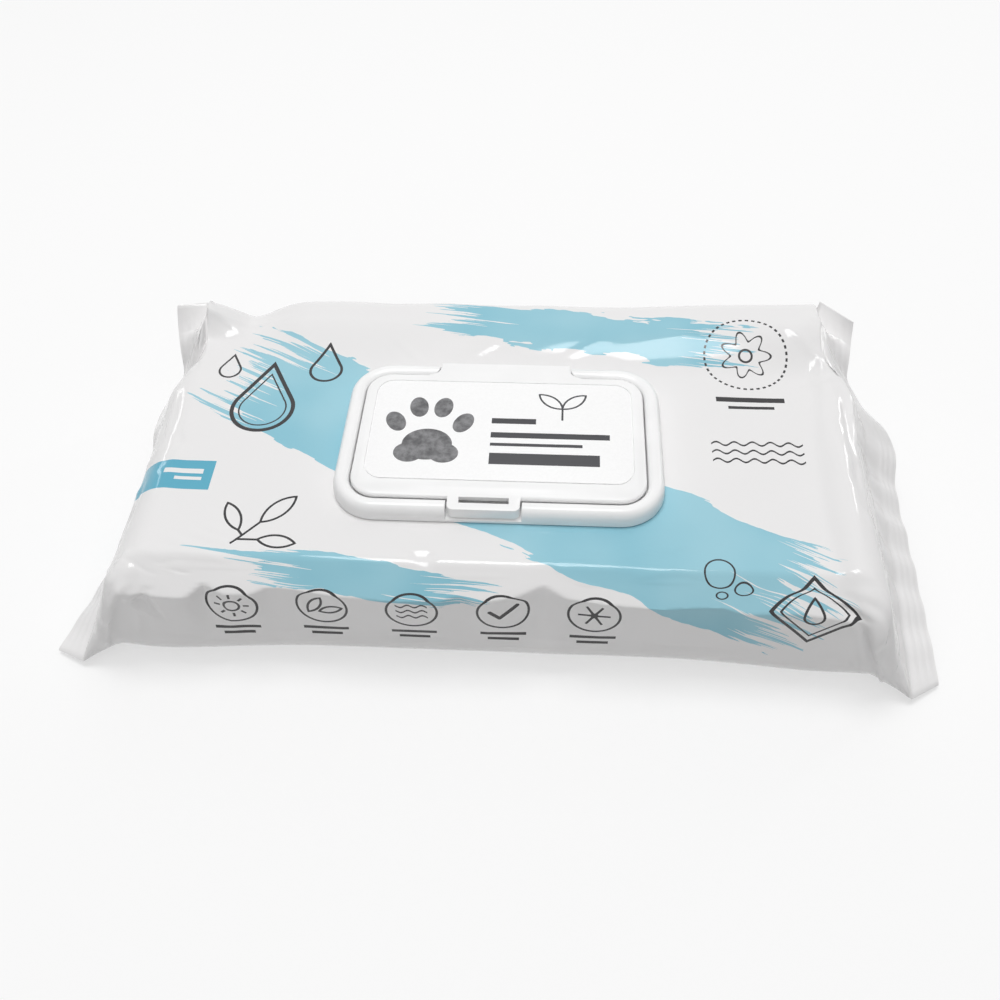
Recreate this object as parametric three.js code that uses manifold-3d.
// A soft flow-wrapped pack of wet wipes with a flip-top lid.
//
// Millimetres, +Z up. The pack lies on its back seal at z = 0, its length runs along X and its
// front side faces -Y. The film is a tube of constant girth around the stack of wipes, pinched
// flat into a crimped seal at each end. The lid station is glued to the top panel.

import * as THREE from 'three';
import { LoftGeometry } from 'three/addons/geometries/LoftGeometry.js';
import { mergeVertices } from 'three/addons/utils/BufferGeometryUtils.js';
import Module from 'manifold-3d';

// Stack of folded wipes
const STACK_LENGTH = 187;
const STACK_WIDTH = 108;
const STACK_HEIGHT = 34;
const STACK_CORNER = 5;
const STACK_FOLDS = 8;
const STACK_FOLD_DEPTH = 0.8;
const TOP_FOLD_HEIGHT = 0.4;
const TOP_FOLD_Y = 2;

// Film: wall, and the room it leaves round the stack
const FILM = 0.8;
const SIDE_SLACK = 5.2;
const END_SLACK = 1.7;
const HEAD_SLACK = 0.7;
const FLOOR_SLACK = 0.2;
const FILM_CORNER = 7;
const FILM_FOOT = 12;

// Back seal: a flat strip folded against the bottom panel, in a shallow arch
const BACK_SEAL_WIDTH = 14;
const BACK_SEAL_THICKNESS = 0.6;
const BACK_SEAL_OFFSET = 3;
const BASE_ARCH = 88;

// End seals: width and thickness of the crimped strip, and the height at which it runs
const SEAL_WIDTH = 9;
const SEAL_THICKNESS = 1;
const SEAL_HEIGHT = 16;
const SEAL_GATHERS = 10;
const GATHER_DEPTH = 0.7;
const TUCK_RUN = 0.45;

// The two ends: length of film between body and seal, radius of its bend over the stack's edge, and
// how far the rear corner stands out beyond the front one. Then each ear of the seal: its distance
// from the middle of the pack, its height, the turn of the strip below level, and how far the corner
// of the strip is drawn in. Last, the turn of the strip at its middle, the reach of the end panel
// there as a share of a free one, how much of the rear corner is tucked in, and from where
const LEFT_END = {
	side: - 1, panel: 30, bend: 16, skew: 4,
	frontEar: 64.5, frontHeight: 2, frontTurn: 6, frontSweep: 4,
	rearEar: 54, rearHeight: 40, rearTurn: - 12, rearSweep: 4,
	middleTurn: 88, middleReach: 0.85, tuck: 0.85, tuckFrom: 0.26
};
const RIGHT_END = {
	side: 1, panel: 28.5, bend: 8, skew: 4,
	frontEar: 66.5, frontHeight: 2, frontTurn: 6, frontSweep: 5.5,
	rearEar: 60, rearHeight: 41, rearTurn: - 4, rearSweep: 11,
	middleTurn: 38, middleReach: 1.02, tuck: 0.83, tuckFrom: 0.25
};

// Slack of the film: puff of the rear of the top panel with a rise to its right end, a folded-up
// corner at its left end where the rear wall is pinched in, dents along the front and rear shoulders,
// and a flare of the front's foot
const REAR_PUFF = 3.6;
const REAR_PUFF_RUN = 20;
const REAR_RISE = 3;
const REAR_RISE_RUN = 70;
const SWELL_END = 84;
const SWELL_FADE = 20;
const FOLD_X = 84;
const FOLD_LENGTH = 14;
const FOLD_Y = 39;
const FOLD_RUN = 9;
const FOLD_RISE = 8;
const PINCH_DEPTH = 5;
const PINCH_RUN = 14;
const PINCH_WIDTH = 22;
const SKEW_START = 30;
const SKEW_RUN = 50;
const FLARE = 3;
const FLARE_RUN = 46;
const DENT_DEPTH = 1.1;
const DENT_PITCH = 37;

// Lid station on the top panel
const STATION_X = 0;
const STATION_Y = - 6;
const ADHESIVE = 0.2;

// Moulded frame: a rounded bead round a flat floor
const FRAME_LENGTH = 95;
const FRAME_WIDTH = 60;
const FRAME_CORNER = 13;
const FRAME_HEIGHT = 5;
const FRAME_FLOOR = 1;
const BEAD_WIDTH = 4.8;
const BEAD_FOOT = 1.5;
const BEAD_CREST = 0.5;
const BEAD_INSIDE = 1.6;

// Dispensing opening in film and frame, and the rim round it
const OPENING_LENGTH = 50;
const OPENING_WIDTH = 20;
const OPENING_CORNER = 8;
const OPENING_MARGIN = 2;
const RIM_WALL = 1.2;
const RIM_HEIGHT = 1.5;

// Lid: panel, hinge flap at the rear, thumb tab at the front, sealing ring underneath
const LID_GAP = 0.45;
const LID_WALL = 1.6;
const LID_EDGE = 0.7;
const FLAP_WIDTH = 40;
const FLAP_SHOULDER = 3.5;
const HINGE_GAP = 0.3;
const TAB_WIDTH = 20.5;
const TAB_X = - 3.5;
const TAB_CORNER = 1.8;
const TAB_LIP = 1.6;
const TAB_LIP_GAP = 0.35;
const TAB_SETBACK = 0.6;
const SLOT_LENGTH = 14;
const SLOT_WIDTH = 2.1;
const SLOT_SETBACK = 4.2;
const CATCH_LENGTH = 12;
const CATCH_WALL = 1;
const CATCH_HEIGHT = 1.1;
const CATCH_GAP = 0.4;
const RING_WALL = 1.1;
const RING_GAP = 0.5;
const RING_LIFT = 0.6;

// Label in a shallow recess of the lid
const LABEL_LENGTH = 77;
const LABEL_WIDTH = 40;
const LABEL_CORNER = 5;
const LABEL_Y = 1.6;
const LABEL_THICKNESS = 0.25;
const LABEL_GAP = 0.3;
const LABEL_BED = 0.05;

// Facets of the loft and of the rounded corners
const GIRTH_STEPS = 96;
const BODY_STEPS = 18;
const PANEL_STEPS = 6;
const SEAL_STEPS = 2;
const CORNER_STEPS = 6;
const BEAD_STEPS = 4;

// Derived sizes of the film
const STACK_BASE = BACK_SEAL_THICKNESS + FILM + FLOOR_SLACK;
const POUCH_HEIGHT = STACK_BASE + STACK_HEIGHT + HEAD_SLACK + FILM;
const POUCH_HALF_WIDTH = STACK_WIDTH / 2 + SIDE_SLACK + FILM;
const POUCH_HALF_BODY = STACK_LENGTH / 2 + END_SLACK + FILM;
const HALF_HEIGHT = POUCH_HEIGHT / 2;
const FRAME_REAR = STATION_Y + FRAME_WIDTH / 2;

// Derived sizes of the lid station, measured from the frame's underside
const LID_UNDER = FRAME_HEIGHT - LID_WALL;
const LID_INSET = BEAD_WIDTH + LID_GAP;
const LID_REAR = FRAME_WIDTH / 2 - LID_INSET;
const TAB_FRONT = - FRAME_WIDTH / 2 + TAB_SETBACK;
const SLOT_Y = - FRAME_WIDTH / 2 + SLOT_SETBACK;
const RIM_OFFSET = OPENING_MARGIN + RIM_WALL;
const RING_OFFSET = RIM_OFFSET + RING_GAP;

const wasm = await Module();
wasm.setup();

const smooth = ( from, to, value ) => THREE.MathUtils.smoothstep( value, from, to );
const radians = THREE.MathUtils.degToRad;
const clamp = THREE.MathUtils.clamp;

// Solids for joining and cutting

function solid( geometry ) {

	const plain = new THREE.BufferGeometry();
	plain.setAttribute( 'position', geometry.getAttribute( 'position' ) );
	plain.setIndex( geometry.getIndex() );
	const welded = mergeVertices( plain, 1e-5 );
	return new wasm.Manifold( new wasm.Mesh( {
		numProp: 3,
		vertProperties: new Float32Array( welded.attributes.position.array ),
		triVerts: new Uint32Array( welded.index.array )
	} ) );

}

function geometryOf( manifold ) {

	const mesh = manifold.getMesh();
	const geometry = new THREE.BufferGeometry();
	geometry.setAttribute( 'position', new THREE.BufferAttribute( mesh.vertProperties, 3 ) );
	geometry.setIndex( new THREE.BufferAttribute( mesh.triVerts, 1 ) );
	geometry.computeVertexNormals();
	return geometry;

}

function block( x0, x1, y0, y1, z0, z1 ) {

	const geometry = new THREE.BoxGeometry( x1 - x0, y1 - y0, z1 - z0 );
	return solid( geometry.translate( ( x0 + x1 ) / 2, ( y0 + y1 ) / 2, ( z0 + z1 ) / 2 ) );

}

function extrusion( shape, z0, z1 ) {

	const options = { depth: z1 - z0, bevelEnabled: false, curveSegments: CORNER_STEPS };
	return solid( new THREE.ExtrudeGeometry( shape, options ).translate( 0, 0, z0 ) );

}

function roundedRectangle( length, width, corner ) {

	const x = length / 2;
	const y = width / 2;
	const shape = new THREE.Shape();
	shape.absarc( x - corner, y - corner, corner, 0, Math.PI / 2 );
	shape.absarc( - x + corner, y - corner, corner, Math.PI / 2, Math.PI );
	shape.absarc( - x + corner, - y + corner, corner, Math.PI, 1.5 * Math.PI );
	shape.absarc( x - corner, - y + corner, corner, 1.5 * Math.PI, 2 * Math.PI );
	shape.closePath();
	return shape;

}

// A body with a rounded rectangular plan whose outline steps in as it rises

function moulded( length, width, corner, profile ) {

	const sections = profile.map( ( [ inset, z ] ) => {

		const plan = roundedRectangle( length - 2 * inset, width - 2 * inset, corner - inset );
		const ring = plan.getPoints( CORNER_STEPS ).slice( 0, - 1 );
		return ring.map( ( p ) => new THREE.Vector3( p.x, p.y, z ) );

	} );
	return solid( new LoftGeometry( sections, { capStart: true, capEnd: true } ) );

}

// Section of the film tube: a rounded rectangle walked by arc length from the middle of the
// bottom panel, up the rear panel, over the top and down the front panel

function tubePoint( halfWidth, halfHeight, foot, corner, share ) {

	const base = halfWidth - foot;
	const top = halfWidth - corner;
	const upright = 2 * halfHeight - foot - corner;
	const footBend = foot * Math.PI / 2;
	const topBend = corner * Math.PI / 2;
	const half = base + footBend + upright + topBend + top;
	const side = share < 0.5 ? 1 : - 1;
	let run = half * 2 * ( share < 0.5 ? share : 1 - share );
	if ( run <= base ) return [ side * run, - halfHeight ];
	run -= base;
	if ( run <= footBend ) {

		const turn = foot > 0 ? run / foot : 0;
		return [ side * ( base + foot * Math.sin( turn ) ), - halfHeight + foot * ( 1 - Math.cos( turn ) ) ];

	}

	run -= footBend;
	if ( run <= upright ) return [ side * halfWidth, - halfHeight + foot + run ];
	run -= upright;
	if ( run <= topBend ) {

		const turn = run / corner;
		return [ side * ( top + corner * Math.cos( turn ) ), halfHeight - corner * ( 1 - Math.sin( turn ) ) ];

	}

	run -= topBend;
	return [ side * ( top - run ), halfHeight ];

}

// Angle of an end panel: the bend and the straight run together drop by half the pack's height

function endPanelAngle( end ) {

	let low = 0.2;
	let high = Math.PI / 2;
	for ( let i = 0; i < 50; i ++ ) {

		const middle = ( low + high ) / 2;
		const straight = end.panel - end.bend * middle;
		const drop = end.bend * ( 1 - Math.cos( middle ) ) + straight * Math.sin( middle );
		if ( drop < HALF_HEIGHT - SEAL_THICKNESS / 2 ) low = middle;
		else high = middle;

	}

	return low;

}

// How far the middle of an end panel has gone out and down after a run of film

function endPath( end, run ) {

	const bent = Math.min( run / end.bend, end.angle );
	const straight = run - bent * end.bend;
	return {
		out: end.bend * Math.sin( bent ) + straight * Math.cos( end.angle ),
		down: end.bend * ( 1 - Math.cos( bent ) ) + straight * Math.sin( end.angle )
	};

}

for ( const end of [ LEFT_END, RIGHT_END ] ) {

	end.angle = endPanelAngle( end );
	end.reach = endPath( end, end.panel ).out;

}

// Slack of the film over the stack, faded out towards the seals: an arch over the back seal, a puff
// behind the lid that gives way to the folded-up and pinched left corner, dents along the front and rear
// shoulders, and the foot of the front that spreads towards the ears

function slacken( point, fade ) {

	const { x, y, z } = point;
	const lift = z / POUCH_HEIGHT;
	const rearStart = FRAME_REAR + 2;
	const vault = Math.max( 1 - ( 2 * y / BASE_ARCH ) ** 2, 0 );
	const arch = BACK_SEAL_THICKNESS * vault * ( 1 - smooth( 0, 0.2, lift ) );
	const rise = REAR_RISE * smooth( POUCH_HALF_BODY - REAR_RISE_RUN, POUCH_HALF_BODY, x );
	const corner = clamp( ( - FOLD_X - x ) / FOLD_LENGTH, 0, 1 );
	const fold = FOLD_RISE * corner * clamp( ( y - FOLD_Y ) / FOLD_RUN, 0, 1 );
	const swell = ( REAR_PUFF + rise ) * ( 1 - smooth( SWELL_END - SWELL_FADE, SWELL_END, - x ) );
	const pinch = PINCH_DEPTH * smooth( FOLD_X - PINCH_RUN, FOLD_X, - x );
	const pinched = smooth( POUCH_HALF_WIDTH - PINCH_WIDTH, POUCH_HALF_WIDTH, y ) * smooth( 0.5, 0.95, lift );
	const puff = fold + swell * smooth( rearStart, rearStart + REAR_PUFF_RUN, y );
	const wave = 0.5 + 0.5 * Math.cos( 2 * Math.PI * x / DENT_PITCH + 1.2 * Math.cos( x / 29 ) );
	const shoulder = smooth( POUCH_HALF_WIDTH - FILM_CORNER, POUCH_HALF_WIDTH, Math.abs( y ) );
	point.z += fade * ( arch + puff * lift );
	point.y -= fade * Math.sign( y ) * DENT_DEPTH * wave * shoulder * smooth( 0.12, 0.5, lift );
	point.y -= fade * pinch * pinched;
	const spread = FLARE * smooth( POUCH_HALF_BODY - FLARE_RUN, POUCH_HALF_BODY, Math.abs( x ) );
	if ( y < 0 ) point.y += fade * spread * ( 1 - lift ) * y / POUCH_HALF_WIDTH;

}

// The rear corners of the body stand out beyond the front ones

function skew( point ) {

	const end = point.x < 0 ? LEFT_END : RIGHT_END;
	const outward = smooth( SKEW_START, POUCH_HALF_BODY, Math.abs( point.x ) );
	point.x += end.side * end.skew * outward * smooth( 0, SKEW_RUN, point.y );

}

// A point of the film at one end: a run of film out from the body, at a share of the girth

function endPoint( end, share, run ) {

	const panelRun = Math.min( run, end.panel );
	const stripRun = run - panelRun;
	const pinch = panelRun / end.panel;
	const path = endPath( end, panelRun );
	const edge = Math.min( ( SEAL_WIDTH - stripRun ) / ( SEAL_THICKNESS / 2 ), 1 );
	const halfHeight = ( HALF_HEIGHT - path.down ) * edge;
	const foot = Math.min( FILM_FOOT, halfHeight );
	const corner = Math.min( FILM_CORNER, halfHeight );
	const [ across, up ] = tubePoint( POUCH_HALF_WIDTH, halfHeight, foot, corner, share );
	const front = across < 0;
	const ear = front ? end.frontEar : end.rearEar;
	const earHeight = front ? end.frontHeight : end.rearHeight;
	const earTurn = front ? end.frontTurn : end.rearTurn;
	const sweep = front ? end.frontSweep : end.rearSweep;
	const squeeze = path.down / ( HALF_HEIGHT - SEAL_THICKNESS / 2 );
	const y = across * ( 1 + ( ear / POUCH_HALF_WIDTH - 1 ) * squeeze );
	const along = Math.min( Math.abs( y ) / ear, 1 );

	// the seal line climbs or falls from its middle to the ears
	const level = SEAL_HEIGHT + ( earHeight - SEAL_HEIGHT ) * Math.pow( along, 1.5 );
	const z = HALF_HEIGHT + up + ( level - HALF_HEIGHT ) * squeeze;

	// the ears keep the length of the film, less what is tucked in
	const slant = ( ear - POUCH_HALF_WIDTH ) ** 2 + ( HALF_HEIGHT - earHeight ) ** 2;
	const earReach = Math.sqrt( Math.max( end.panel ** 2 - slant, 1 ) ) * ( front ? 1 : 1 - end.tuck );
	const middle = end.reach * end.middleReach;
	const tucked = smooth( end.tuckFrom, end.tuckFrom + TUCK_RUN, along );
	const reach = middle + ( earReach - middle ) * ( front ? along * along : tucked );
	const turn = radians( end.middleTurn + ( earTurn - end.middleTurn ) * Math.pow( along, 1.4 ) );
	const point = new THREE.Vector3( end.side * ( POUCH_HALF_BODY + reach * path.out / end.reach ), y, z );
	slacken( point, 1 - smooth( 0, 0.8, pinch ) );

	// gathers of the pinched film, and the strip itself
	const gather = GATHER_DEPTH * Math.cos( Math.PI * SEAL_GATHERS * ( y / ear + 1 ) );
	point.z += gather * smooth( 0.25, 1, pinch ) * ( 1 - along * along );
	point.x += end.side * stripRun * Math.cos( turn );
	point.z -= stripRun * Math.sin( turn );
	point.y -= Math.sign( across ) * sweep * Math.pow( along, 3 ) * stripRun / SEAL_WIDTH;
	point.z = Math.max( point.z, ( up + halfHeight ) * pinch );
	skew( point );
	return point;

}

// Sections of the film along the pack, from the left seal to the right seal

function filmSections( inset, girthSteps, leftRuns, rightRuns ) {

	const shares = [];
	for ( let j = 0; j < girthSteps; j ++ ) shares.push( j / girthSteps );
	const sections = [];
	for ( const run of leftRuns.toReversed() ) {

		sections.push( shares.map( ( share ) => endPoint( LEFT_END, share, run ) ) );

	}

	for ( let i = 0; i <= BODY_STEPS; i ++ ) {

		const x = ( POUCH_HALF_BODY - inset ) * ( 2 * i / BODY_STEPS - 1 );
		sections.push( shares.map( ( share ) => {

			const bends = [ FILM_FOOT - inset, FILM_CORNER - inset ];
			const [ y, z ] = tubePoint( POUCH_HALF_WIDTH - inset, HALF_HEIGHT - inset, ...bends, share );
			const point = new THREE.Vector3( x, y, HALF_HEIGHT + z );
			slacken( point, 1 );
			skew( point );
			return point;

		} ) );

	}

	for ( const run of rightRuns ) {

		sections.push( shares.map( ( share ) => endPoint( RIGHT_END, share, run ) ) );

	}

	return sections;

}

// Runs of film at which an end has a section, down the panel and along the strip

function endRuns( end ) {

	const runs = [];
	const strip = SEAL_WIDTH - SEAL_THICKNESS / 2;
	for ( let i = 1; i <= PANEL_STEPS; i ++ ) runs.push( end.panel * i / PANEL_STEPS );
	for ( let i = 1; i <= SEAL_STEPS; i ++ ) runs.push( end.panel + strip * i / SEAL_STEPS );
	runs.push( end.panel + SEAL_WIDTH );
	return runs;

}

function filmPouch() {

	const caps = { capStart: true, capEnd: true };
	const outerSections = filmSections( 0, GIRTH_STEPS, endRuns( LEFT_END ), endRuns( RIGHT_END ) );
	const outer = solid( new LoftGeometry( outerSections ) );
	const inner = solid( new LoftGeometry( filmSections( FILM, GIRTH_STEPS / 2, [], [] ), caps ) );
	const sealY = BACK_SEAL_OFFSET - BACK_SEAL_WIDTH / 2;
	const sealTop = BACK_SEAL_THICKNESS + FILM / 4;
	const backSeal = block( - POUCH_HALF_BODY, POUCH_HALF_BODY, sealY, sealY + BACK_SEAL_WIDTH, 0, sealTop );
	const cut = extrusion( openingShape( 0 ), POUCH_HEIGHT - FILM - HEAD_SLACK / 2, POUCH_HEIGHT + FILM );
	return outer.subtract( inner ).add( backSeal ).subtract( cut.translate( STATION_X, STATION_Y, 0 ) );

}

// Outline of the dispensing opening, grown by an offset

function openingShape( offset ) {

	return roundedRectangle( OPENING_LENGTH + 2 * offset, OPENING_WIDTH + 2 * offset, OPENING_CORNER + offset );

}

// Stack of wipes: the end view with its folded edges, drawn out along the pack

function wipesStack() {

	const groove = STACK_WIDTH / 2 - STACK_FOLD_DEPTH;
	const flat = groove - STACK_CORNER;
	const pitch = ( STACK_HEIGHT - 2 * STACK_CORNER ) / STACK_FOLDS;
	const bulge = groove + 2 * STACK_FOLD_DEPTH;
	const shape = new THREE.Shape();
	shape.moveTo( - flat, 0 );
	shape.lineTo( flat, 0 );
	shape.absarc( flat, STACK_CORNER, STACK_CORNER, - Math.PI / 2, 0 );
	for ( let i = 0; i < STACK_FOLDS; i ++ ) {

		const z = STACK_CORNER + i * pitch;
		shape.quadraticCurveTo( bulge, z + pitch / 2, groove, z + pitch );

	}

	shape.absarc( flat, STACK_HEIGHT - STACK_CORNER, STACK_CORNER, 0, Math.PI / 2 );
	shape.lineTo( TOP_FOLD_Y, STACK_HEIGHT );
	shape.lineTo( TOP_FOLD_Y - TOP_FOLD_HEIGHT, STACK_HEIGHT + TOP_FOLD_HEIGHT );
	shape.lineTo( - flat + TOP_FOLD_HEIGHT, STACK_HEIGHT + TOP_FOLD_HEIGHT );
	shape.absarc( - flat, STACK_HEIGHT - STACK_CORNER, STACK_CORNER, Math.PI / 2, Math.PI );
	for ( let i = STACK_FOLDS - 1; i >= 0; i -- ) {

		const z = STACK_CORNER + i * pitch;
		shape.quadraticCurveTo( - bulge, z + pitch / 2, - groove, z );

	}

	shape.absarc( - flat, STACK_CORNER, STACK_CORNER, Math.PI, 1.5 * Math.PI );
	const options = { depth: STACK_LENGTH, bevelEnabled: false, curveSegments: 3 };
	const geometry = new THREE.ExtrudeGeometry( shape, options ).translate( 0, 0, - STACK_LENGTH / 2 );
	return geometry.rotateX( Math.PI / 2 ).rotateZ( Math.PI / 2 );

}

// Plan of the hinge flap, with hollow shoulders; the frame is cut wider by the gap

function flapShape( gap, rear ) {

	const x = FLAP_WIDTH / 2 + FLAP_SHOULDER;
	const y = LID_REAR + FLAP_SHOULDER;
	const radius = FLAP_SHOULDER - gap;
	const shape = new THREE.Shape();
	shape.moveTo( - x, LID_REAR - FLAP_SHOULDER );
	shape.lineTo( x, LID_REAR - FLAP_SHOULDER );
	shape.absarc( x, y, radius, - Math.PI / 2, - Math.PI, true );
	shape.lineTo( x - radius, rear );
	shape.lineTo( - x + radius, rear );
	shape.absarc( - x, y, radius, 0, - Math.PI / 2, true );
	shape.closePath();
	return shape;

}

// Plan of the thumb tab, rounded at its front corners

function tabShape() {

	const left = TAB_X - TAB_WIDTH / 2;
	const right = TAB_X + TAB_WIDTH / 2;
	const shape = new THREE.Shape();
	shape.moveTo( right, - LID_REAR + TAB_LIP );
	shape.lineTo( left, - LID_REAR + TAB_LIP );
	shape.absarc( left + TAB_CORNER, TAB_FRONT + TAB_CORNER, TAB_CORNER, Math.PI, 1.5 * Math.PI );
	shape.absarc( right - TAB_CORNER, TAB_FRONT + TAB_CORNER, TAB_CORNER, 1.5 * Math.PI, 2 * Math.PI );
	shape.closePath();
	return shape;

}

// Frame: a rounded bead round a floor, cut away for the flap and the tab, with a rim round the
// opening and a catch ridge behind the tab's lip

function lidFrame() {

	const half = ( BEAD_WIDTH - BEAD_CREST ) / 2;
	const outside = [ [ 0, 0 ], [ 0, BEAD_FOOT ] ];
	const inside = [ [ BEAD_WIDTH, FRAME_FLOOR ], [ BEAD_WIDTH, FRAME_HEIGHT - BEAD_INSIDE ] ];
	for ( let i = 1; i <= BEAD_STEPS; i ++ ) {

		const turn = i / BEAD_STEPS * Math.PI / 2;
		const rise = ( FRAME_HEIGHT - BEAD_FOOT ) * Math.sin( turn );
		outside.push( [ half * ( 1 - Math.cos( turn ) ), BEAD_FOOT + rise ] );
		const fall = BEAD_INSIDE * ( 1 - Math.sin( turn ) );
		inside.push( [ BEAD_WIDTH - half * ( 1 - Math.cos( turn ) ), FRAME_HEIGHT - fall ] );

	}

	inside.push( [ BEAD_WIDTH - half, FRAME_HEIGHT + 1 ] );
	const top = FRAME_HEIGHT + 1;
	const front = - FRAME_WIDTH / 2;
	const tabHalf = TAB_WIDTH / 2 + LID_GAP;
	const catchY = TAB_FRONT + TAB_LIP + CATCH_GAP;
	const catchLeft = TAB_X - CATCH_LENGTH / 2;
	const catchTop = FRAME_FLOOR + CATCH_HEIGHT;
	return moulded( FRAME_LENGTH, FRAME_WIDTH, FRAME_CORNER, outside )
		.subtract( moulded( FRAME_LENGTH, FRAME_WIDTH, FRAME_CORNER, inside ) )
		.subtract( extrusion( flapShape( LID_GAP, FRAME_WIDTH / 2 + 1 ), LID_UNDER - HINGE_GAP, top ) )
		.subtract( block( TAB_X - tabHalf, TAB_X + tabHalf, front - 1, front + LID_INSET, FRAME_FLOOR, top ) )
		.add( block( catchLeft, catchLeft + CATCH_LENGTH, catchY, catchY + CATCH_WALL, FRAME_FLOOR / 2, catchTop ) )
		.add( extrusion( openingShape( RIM_OFFSET ), FRAME_FLOOR / 2, FRAME_FLOOR + RIM_HEIGHT ) )
		.subtract( extrusion( openingShape( OPENING_MARGIN ), - 1, top ) );

}

// Lid: a flat panel with eased edges, the flap, the lipped tab with its slot, the sealing ring
// underneath and the recess for the label

function lidPanel() {

	const ease = LID_EDGE / 3;
	const panel = moulded( FRAME_LENGTH - 2 * LID_INSET, FRAME_WIDTH - 2 * LID_INSET, FRAME_CORNER - LID_INSET, [
		[ ease, LID_UNDER ],
		[ 0, LID_UNDER + ease ],
		[ 0, FRAME_HEIGHT - LID_EDGE ],
		[ ease, FRAME_HEIGHT - ease ],
		[ LID_EDGE, FRAME_HEIGHT ]
	] );
	const flap = extrusion( flapShape( 0, FRAME_WIDTH / 2 ), LID_UNDER, FRAME_HEIGHT );
	const tab = extrusion( tabShape(), FRAME_FLOOR + TAB_LIP_GAP, FRAME_HEIGHT );
	const tabHalf = TAB_WIDTH / 2 + 1;
	const hollowFront = TAB_FRONT + TAB_LIP;
	const hollow = block( TAB_X - tabHalf, TAB_X + tabHalf, hollowFront, 0, 0, LID_UNDER );
	const slotLeft = TAB_X - SLOT_LENGTH / 2;
	const slotFront = SLOT_Y - SLOT_WIDTH / 2;
	const slotEnds = [ slotLeft, slotLeft + SLOT_LENGTH, slotFront, slotFront + SLOT_WIDTH ];
	const slot = block( ...slotEnds, 0, FRAME_HEIGHT + 1 );
	const ringBase = FRAME_FLOOR + RING_LIFT;
	const ring = extrusion( openingShape( RING_OFFSET + RING_WALL ), ringBase, LID_UNDER + ease )
		.subtract( extrusion( openingShape( RING_OFFSET ), 0, LID_UNDER ) );
	const recessDepth = LABEL_THICKNESS + LABEL_BED;
	const recess = extrusion( labelShape( LABEL_GAP ), FRAME_HEIGHT - recessDepth, FRAME_HEIGHT + 1 )
		.translate( 0, LABEL_Y, 0 );
	return panel.add( flap ).add( tab.subtract( hollow ) ).subtract( slot ).add( ring ).subtract( recess );

}

function labelShape( offset ) {

	return roundedRectangle( LABEL_LENGTH + 2 * offset, LABEL_WIDTH + 2 * offset, LABEL_CORNER + offset );

}

function lidLabel() {

	return extrusion( labelShape( 0 ), FRAME_HEIGHT - LABEL_THICKNESS, FRAME_HEIGHT );

}

// The pack: pouch and stack, and the lid station on the top panel

function part( name, geometry, color, roughness ) {

	const material = new THREE.MeshStandardMaterial( { color, roughness, metalness: 0 } );
	const mesh = new THREE.Mesh( geometry, material );
	mesh.name = name;
	return mesh;

}

const pack = new THREE.Group();
pack.add( part( 'film_pouch', geometryOf( filmPouch() ), 0xe9ecee, 0.28 ) );

const stack = part( 'wipes_stack', wipesStack(), 0xf4f6f6, 0.9 );
stack.position.z = STACK_BASE;
pack.add( stack );

const station = new THREE.Group();
station.position.set( STATION_X, STATION_Y, POUCH_HEIGHT + ADHESIVE );
station.add( part( 'lid_frame', geometryOf( lidFrame() ), 0xfbfbfb, 0.35 ) );
station.add( part( 'lid', geometryOf( lidPanel() ), 0xfdfdfd, 0.35 ) );
const label = part( 'lid_label', geometryOf( lidLabel() ), 0xffffff, 0.25 );
label.position.y = LABEL_Y;
station.add( label );
pack.add( station );

export default pack;
